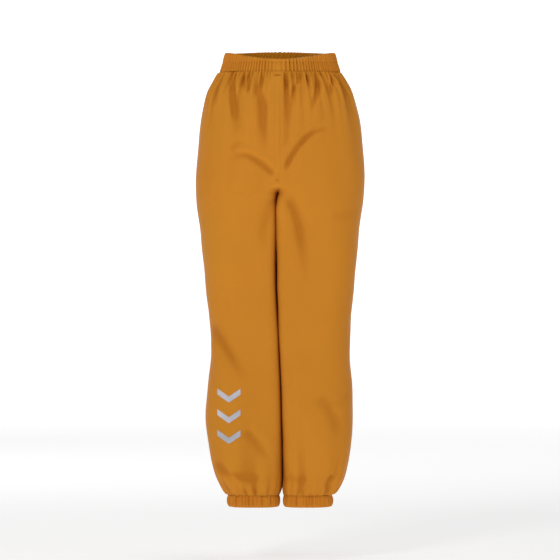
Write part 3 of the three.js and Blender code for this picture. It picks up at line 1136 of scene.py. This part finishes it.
def add_stitch(bm, start, end, normal, radius):
    """One stitch: a slim rounded bead lying on the cloth from start to end."""
    way = end - start
    side = normal.cross(way).normalized()
    up = way.cross(side).normalized()
    turn = Matrix((way.normalized(), side, up)).transposed().to_4x4()
    matrix = (
        Matrix.Translation((start + end) / 2 + normal * radius * 0.35)
        @ turn
        @ Matrix.Diagonal((way.length / 2, radius, radius * 0.8, 1.0))
    )
    bmesh.ops.create_uvsphere(bm, u_segments=6, v_segments=4, radius=1.0, matrix=matrix)


def stitch_row(bm, points, normals, length=0.0026, gap=0.0007, radius=0.00028):
    """Stitches of even length along a line of points on the cloth."""
    points, normals = np.asarray(points), np.asarray(normals)
    run = np.append(0, np.cumsum(np.linalg.norm(np.diff(points, axis=0), axis=1)))
    count = max(int(run[-1] / (length + gap)), 1)
    pitch = run[-1] / count
    for k in range(count):
        ends = np.array([k * pitch + gap / 2, (k + 1) * pitch - gap / 2])
        spots = [
            Vector([np.interp(place, run, points[:, axis]) for axis in range(3)])
            for place in ends
        ]
        normal = Vector([np.interp(ends.mean(), run, normals[:, axis]) for axis in range(3)])
        add_stitch(bm, spots[0], spots[1], normal.normalized(), radius)


def casing_stitches(casing, name, rows):
    """Stitches on a casing. Each row is pairs of points, one outside the casing and one
    inside it, and a stitch lies where the line between them meets the casing."""
    tree = surface_tree(casing)
    bm = bmesh.new()
    for row in rows:
        line, normals = [], []
        for outer, inner in row:
            way = Vector(inner) - Vector(outer)
            hit, normal, _, _ = tree.ray_cast(Vector(outer), way.normalized())
            if hit is None:
                raise RuntimeError(f"a stitch misses {casing.name}")
            line.append(hit)
            normals.append(normal)
        stitch_row(bm, line, normals)
    stitches = finish_mesh(bm, name)
    paint(stitches, finish_named("thread"))
    return stitches


def surface_tree(thing):
    bm = bmesh.new()
    bm.from_mesh(thing.data)
    tree = BVHTree.FromBMesh(bm)
    bm.free()
    return tree


# ---------------------------------------------------------------- seam tapes

TAPE_TOP_DROP = 0.034
TAPE_END_DROP = 0.712
TAPE_WIDTH = 0.010
TAPE_SHARE = 0.022


def seam_tape(name, cut, seam, side):
    """The tape over one seam within one cut: seam is 0 at the side, 1 at the inseam."""
    top, bottom = CUT_DROPS[cut]
    top = max(top, TAPE_TOP_DROP, seam * (RISE + 0.006))
    bottom = min(bottom, TAPE_END_DROP)
    drops = np.linspace(top, bottom, int((bottom - top) / 0.003) + 2)
    shares = np.sort(np.abs(seam - np.linspace(TAPE_SHARE, 0.0, 5)))
    strips = []
    for face in (FRONT, BACK):
        lift = -(CLOTH_WALL + TAPE_THICKNESS)
        points, _, _ = dressed_surface(drops, shares, face, side, lift)
        if face * side < 0:
            points = points[:, ::-1]
        across = np.broadcast_to(np.linspace(0, TAPE_WIDTH, 5), points.shape[:2])
        down = np.broadcast_to(drops[:, None], points.shape[:2])
        uv = np.stack([across, down], axis=-1)
        strips.append((len(drops) - 1, 4, points, uv, np.zeros(points.shape[:2])))
    tape = with_wall(grids_of_cloth(name, strips), name, TAPE_THICKNESS, lining=False)
    paint(tape, finish_named("tape"), finish_named("tape"))
    return tape


# ---------------------------------------------------------------- operators


class SewWaistband(bpy.types.Operator):
    """Folds the waist casing round its elastic and stitches it twice"""

    bl_idname = "trousers.sew_waistband"
    bl_label = "Waistband"

    def execute(self, context):
        grid = waist_casing_grid(WAIST_COLUMNS)
        casing = ring_piece("waistband_casing", grid, CASING_WALL)
        paint(casing, finish_named("casing"), finish_named("backing"))
        phi = np.linspace(-math.pi, math.pi, WAIST_COLUMNS + 1)[None, :]
        grid = elastic_grid(
            lambda share, inset: puckered_band(phi, share, inset),
            depth=0.0016,
            down_from=0.08,
            down_to=0.92,
            columns=WAIST_COLUMNS,
            around=0.51,
        )
        elastic = ring_piece("waist_elastic", grid)
        paint(elastic, finish_named("elastic"))

        def across_casing(angle, row):
            dip = -band_ring(angle, 0.0, 0.0)[2]
            share = (row - dip) / (BAND_SEAM_DROP - dip)
            return band_ring(angle, share, -0.003), band_ring(angle, share, 0.004)

        angles = np.linspace(-math.pi, math.pi, STITCH_SPOTS_WAIST)
        rows = [
            [across_casing(angle, row) for angle in angles] for row in STITCH_ROW_DROPS
        ]
        stitches = casing_stitches(casing, "waistband_stitches", rows)
        for piece in (casing, elastic, stitches):
            stretch_with_waist(piece)
        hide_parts("waistband_front", "waistband_back")
        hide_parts("waist_elastic_front", "waist_elastic_back")
        return {"FINISHED"}


class SewHips(bpy.types.Operator):
    """Lays the gathered cloth from the waistband down over the hips"""

    bl_idname = "trousers.sew_hips"
    bl_label = "Hips"

    def execute(self, context):
        drops = cloth_rows(*CUT_DROPS["hips"], 0.002)
        hips = cloth_piece("cloth_hips", drops, np.linspace(0, 1, 161), (-1, 1))
        paint(hips, finish_named("cloth"), finish_named("backing"))
        stretch_with_waist(hips)
        names = [f"hip_{end}_{hand}" for end in ("front", "back") for hand, _ in SIDES]
        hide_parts(*names)
        return {"FINISHED"}


class SewLegs(bpy.types.Operator):
    """Lays the cloth of both legs, cut at the hip, above the knee and below it"""

    bl_idname = "trousers.sew_legs"
    bl_label = "Legs"

    def execute(self, context):
        shares = np.linspace(0, 1, 161)
        for hand, side in SIDES:
            made = {}
            for part, spacing in (("thigh", 0.003), ("knee", 0.003), ("shin", 0.0025)):
                drops = cloth_rows(*CUT_DROPS[part], spacing)
                piece = cloth_piece(f"cloth_{part}_{hand}", drops, shares, (side,))
                paint(piece, finish_named("cloth"), finish_named("backing"))
                made[part] = piece
            bend_at_hip(made["thigh"])
            bend_at_knee(made["knee"])
            stretch_with_hem(made["shin"])
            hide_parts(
                f"thigh_front_{hand}",
                f"thigh_back_{hand}",
                f"groin_fold_{hand}",
                f"seat_fold_{hand}",
            )
            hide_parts(f"knee_fold_{hand}")
            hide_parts(f"shin_front_{hand}", f"shin_back_{hand}")
        return {"FINISHED"}


class SewCuffs(bpy.types.Operator):
    """Folds a hem casing round its elastic on each leg and stitches it"""

    bl_idname = "trousers.sew_cuffs"
    bl_label = "Cuffs"

    def execute(self, context):
        for hand, side in SIDES:
            grid = cuff_casing_grid(side, CUFF_COLUMNS)
            casing = ring_piece(f"cuff_casing_{hand}", grid, CASING_WALL)
            paint(casing, finish_named("casing"), finish_named("backing"))
            psi, turn, girth = even_angles(HEM_DROP - 0.01, side, CUFF_COLUMNS)
            height = HEM_DROP - CUFF_SEAM_DROP
            grid = elastic_grid(
                lambda share, inset: leg_ring(
                    CUFF_SEAM_DROP + share * height,
                    psi[None, :],
                    side,
                    inset - cuff_puckers(turn[None, :], share, side),
                ),
                depth=0.0034,
                down_from=0.20,
                down_to=0.80,
                columns=CUFF_COLUMNS,
                around=girth,
            )
            elastic = ring_piece(f"cuff_elastic_{hand}", grid)
            paint(elastic, finish_named("elastic"))
            angles, _, _ = even_angles(HEM_DROP - 0.01, side, STITCH_SPOTS_CUFF)
            drop = CUFF_SEAM_DROP + CUFF_STITCH_SHARE * height
            row = [
                (leg_ring(drop, angle, side, -0.003), leg_ring(drop, angle, side, 0.004))
                for angle in angles
            ]
            stitches = casing_stitches(casing, f"cuff_stitches_{hand}", [row])
            for piece in (casing, elastic, stitches):
                stretch_with_hem(piece)
            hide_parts(f"cuff_front_{hand}", f"cuff_back_{hand}")
            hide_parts(f"cuff_elastic_front_{hand}", f"cuff_elastic_back_{hand}")
        return {"FINISHED"}


class SewFrontSeam(bpy.types.Operator):
    """Stitches the lapped centre front seam, with a bartack at either end"""

    bl_idname = "trousers.sew_front_seam"
    bl_label = "Front seam"

    def execute(self, context):
        _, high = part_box("front_seam_fell")
        tack_low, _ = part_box("fly_bartack")
        middle = sum(FELL_ROWS) / 2
        trees = [surface_tree(bpy.data.objects["cloth_hips"])]
        trees += [surface_tree(bpy.data.objects[f"cloth_thigh_{h}"]) for h, _ in SIDES]

        def front_point(x, z):
            for tree in trees:
                spot = tree.ray_cast(Vector((x, -0.4, z)), Vector((0, 1, 0)))
                if spot[0] is not None and spot[0].y < 0:
                    return spot[0], spot[1]
            raise RuntimeError(f"the front seam leaves the cloth at z {z:.4f}")

        bm = bmesh.new()
        for x in FELL_ROWS:
            spots = [front_point(x, z) for z in np.linspace(tack_low.z, FELL_END, 240)]
            stitch_row(bm, [s[0] for s in spots], [s[1] for s in spots])
        pitch, half_length = 0.0009, 0.0013
        for z, half_width in ((tack_low.z + 0.0012, 0.0058), (FELL_END - 0.0022, 0.0022)):
            for k in range(int(half_width * 2 / pitch)):
                x = middle - half_width + k * pitch
                spots = [front_point(x, z + dz) for dz in (half_length, -half_length)]
                add_stitch(bm, spots[0][0], spots[1][0], spots[0][1], 0.0005)
        stitches = finish_mesh(bm, "front_seam_stitches")
        paint(stitches, finish_named("thread"))
        rows, columns = 84, 8
        spots = np.zeros((rows + 1, columns + 1, 3))
        for j in range(rows + 1):
            for i in range(columns + 1):
                z = high.z + (FELL_END - high.z) * j / rows
                hit, normal = front_point(middle + (i / columns - 0.5) * FELL_WIDTH, z)
                edge = 1 - (2 * i / columns - 1) ** 6
                spots[j, i] = hit + normal * FELL_THICKNESS * edge
        bm = grids_of_cloth("front_seam_lap", [placed_grid(spots)])
        fell = with_wall(bm, "front_seam_lap", FELL_THICKNESS)
        paint(fell, finish_named("cloth"), finish_named("backing"))
        for piece in (stitches, fell):
            stretch_with_waist(piece)
        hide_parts("front_seam_fell")
        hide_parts("fly_bartack")
        return {"FINISHED"}


class WeldTapes(bpy.types.Operator):
    """Welds waterproof tape over the side seams and inseams, inside"""

    bl_idname = "trousers.weld_tapes"
    bl_label = "Seam tapes"

    def execute(self, context):
        for hand, side in SIDES:
            for seam, name, cuts in (
                (0, "side", ("hips", "thigh", "knee", "shin")),
                (1, "inseam", ("thigh", "knee", "shin")),
            ):
                for cut in cuts:
                    tape = seam_tape(f"tape_{name}_{cut}_{hand}", cut, seam, side)
                    if cut == "hips":
                        stretch_with_waist(tape)
                        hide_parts(f"hip_side_tape_{hand}")
                    elif cut == "thigh":
                        bend_at_hip(tape)
                        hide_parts(f"thigh_{name}_tape_{hand}")
                    elif cut == "knee":
                        bend_at_knee(tape)
                    else:
                        stretch_with_hem(tape)
                        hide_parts(f"shin_{name}_tape_{hand}")
        return {"FINISHED"}


class SewLabel(bpy.types.Operator):
    """Sews a blank label in the back of the waist"""

    bl_idname = "trousers.sew_label"
    bl_label = "Label"

    def execute(self, context):
        low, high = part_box("waist_label")
        rows, columns = 20, 26
        spots = np.zeros((rows + 1, columns + 1, 3))
        tree = surface_tree(bpy.data.objects["cloth_hips"])
        for j in range(rows + 1):
            for i in range(columns + 1):
                x = low.x + (high.x - low.x) * i / columns
                z = high.z + (low.z - high.z) * j / rows
                hit, _, _, _ = tree.ray_cast(Vector((x, 0.0, z)), Vector((0, 1, 0)))
                if hit is None:
                    raise RuntimeError("the label misses the back of the waist")
                curl = 0.0012 * (j / rows) ** 2 + 0.0003 * math.sin(i * 0.5)
                spots[j, i] = (x, hit.y - 0.0012 - curl, z)
        bm = grids_of_cloth("blank_label", [placed_grid(spots, 1)])
        label = with_wall(bm, "blank_label", LABEL_THICKNESS, lining=False)
        paint(label, finish_named("label"), finish_named("label"))
        stretch_with_waist(label)
        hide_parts("waist_label")
        return {"FINISHED"}


class PrintChevrons(bpy.types.Operator):
    """Prints three reflective chevrons on the wearer's right shin"""

    bl_idname = "trousers.print_chevrons"
    bl_label = "Reflective print"

    def execute(self, context):
        trees = [
            surface_tree(bpy.data.objects["cloth_shin_right"]),
            surface_tree(bpy.data.objects["cloth_knee_right"]),
        ]
        stroke, rise = 0.010, 0.013
        rows, columns = 8, 40
        for k in (1, 2, 3):
            low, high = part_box(f"reflective_chevron_{k}")
            spots = np.zeros((rows + 1, columns + 1, 3))
            for i in range(columns + 1):
                for j in range(rows + 1):
                    x = low.x + (high.x - low.x) * i / columns
                    peak = abs(2 * i / columns - 1)
                    z = high.z - rise * (1 - peak) - stroke * j / rows
                    found = [
                        tree.ray_cast(Vector((x, -0.4, z)), Vector((0, 1, 0)))
                        for tree in trees
                    ]
                    found = [spot for spot in found if spot[0] is not None]
                    if not found:
                        raise RuntimeError("a chevron misses the shin")
                    hit, normal, _, _ = min(found, key=lambda spot: spot[0].y)
                    spots[j, i] = hit + normal * 0.0004
            name = f"print_chevron_{k}"
            bm = grids_of_cloth(name, [placed_grid(spots)])
            piece = with_wall(bm, name, PRINT_THICKNESS, lining=False)
            paint(piece, finish_named("print"), finish_named("print"))
            stretch_with_hem(piece)
            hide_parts(f"reflective_chevron_{k}")
        return {"FINISHED"}


class SetStage(bpy.types.Operator):
    """Puts up the pale floor and backdrop, the soft lights and the camera"""

    bl_idname = "trousers.set_stage"
    bl_label = "Stage"

    def execute(self, context):
        scene = context.scene
        bm = bmesh.new()
        floor_z, radius, sweep = -HEM_DROP - 0.09, 14.0, 1.5
        profile = [(0.0, floor_z), (4.0, floor_z)]
        for k in range(9):
            turn = k / 8 * math.pi / 2
            profile.append(
                (
                    radius - sweep * (1 - math.sin(turn)),
                    floor_z + sweep * (1 - math.cos(turn)),
                )
            )
        profile.append((radius, 3.5))
        line = [bm.verts.new((along, 0.0, z)) for along, z in profile]
        edges = [bm.edges.new(pair) for pair in zip(line, line[1:])]
        bmesh.ops.spin(
            bm, geom=line + edges, cent=(0, 0, 0), axis=(0, 0, 1), steps=64,
            angle=2 * math.pi, use_merge=True,
        )
        bmesh.ops.remove_doubles(bm, verts=bm.verts, dist=1e-5)
        bmesh.ops.recalc_face_normals(bm, faces=bm.faces)
        backdrop = finish_mesh(bm, "backdrop")
        white = Finish("pale_floor")
        grain = white.noise(3.0)
        place = white.node("ShaderNodeTexCoord").outputs["Object"]
        away = white.node("ShaderNodeVectorMath", {"operation": "LENGTH"}, [place])
        far = ((white.signal(away, "Value") - 1.5) * 0.25).clamped()
        white.set(
            Base_Color=white.mix(grain, (0.55, 0.55, 0.55, 1), (0.58, 0.58, 0.58, 1)),
            Roughness=0.9,
            Specular_IOR_Level=0.0,
            Emission_Color=white.mix(far, (0.58, 0.58, 0.58, 1), (0.9, 0.9, 0.9, 1)),
            Emission_Strength=1.0,
        )
        paint(backdrop, white.material)

        world = bpy.data.worlds.new("studio")
        scene.world = world
        world.use_nodes = True
        world.node_tree.nodes["Background"].inputs[0].default_value = (1.0, 1.0, 1.0, 1)
        world.node_tree.nodes["Background"].inputs[1].default_value = 0.12
        for name, place, size, power in (
            ("key", (-1.1, -2.9, 1.3), 0.6, 33.0),
            ("left", (-2.6, -1.4, 0.4), 0.9, 2.0),
            ("right", (2.5, -1.8, 0.2), 0.9, 4.0),
            ("top", (0.2, -0.2, 2.4), 0.8, 14.0),
            ("back", (-0.8, 2.9, 1.2), 0.9, 20.0),
        ):
            light = bpy.data.lights.new(name, "AREA")
            light.size = size
            light.energy = power
            lamp = bpy.data.objects.new(name, light)
            scene.collection.objects.link(lamp)
            lamp.location = place
            aim = Vector((0.0, 0.0, -0.36)) - Vector(place)
            lamp.rotation_euler = aim.to_track_quat("-Z", "Y").to_euler()

        camera = bpy.data.cameras.new("camera")
        eye = bpy.data.objects.new("camera", camera)
        scene.collection.objects.link(eye)
        target = Vector((0.0, 0.0, -HEM_DROP / 2))
        tilt, distance, shown_height = math.radians(1.0), 8.0, 0.9275
        eye.location = target + distance * Vector((0.0, -math.cos(tilt), math.sin(tilt)))
        eye.rotation_euler = (target - eye.location).to_track_quat("-Z", "Y").to_euler()
        camera.sensor_width = 36.0
        camera.lens = camera.sensor_width * distance / shown_height
        scene.camera = eye
        scene.view_settings.view_transform = "Standard"
        return {"FINISHED"}


class TrousersPanel(bpy.types.Panel):
    """Lists the steps of sewing the trousers"""

    bl_idname = "TROUSERS_PT_steps"
    bl_label = "Waterproof Trousers"
    bl_space_type = "VIEW_3D"
    bl_region_type = "UI"
    bl_category = "Trousers"

    def draw(self, context):
        column = self.layout.column()
        for step in STEPS:
            column.operator(step.bl_idname)
        for group in (context.scene.trousers_sizes, context.scene.trousers_looks):
            for name in group.__annotations__:
                column.prop(group, name)


STEPS = (
    SewWaistband,
    SewHips,
    SewLegs,
    SewCuffs,
    SewFrontSeam,
    WeldTapes,
    SewLabel,
    PrintChevrons,
    SetStage,
)
CLASSES = (TrousersSizes, TrousersLooks, *STEPS, TrousersPanel)


def register():
    for cls in CLASSES:
        bpy.utils.register_class(cls)
    bpy.types.Scene.trousers_sizes = bpy.props.PointerProperty(type=TrousersSizes)
    bpy.types.Scene.trousers_looks = bpy.props.PointerProperty(type=TrousersLooks)


def unregister():
    del bpy.types.Scene.trousers_looks
    del bpy.types.Scene.trousers_sizes
    for cls in reversed(CLASSES):
        bpy.utils.unregister_class(cls)


def main():
    register()
    for step in STEPS:
        group, name = step.bl_idname.split(".")
        getattr(getattr(bpy.ops, group), name)()


if __name__ == "__main__":
    main()
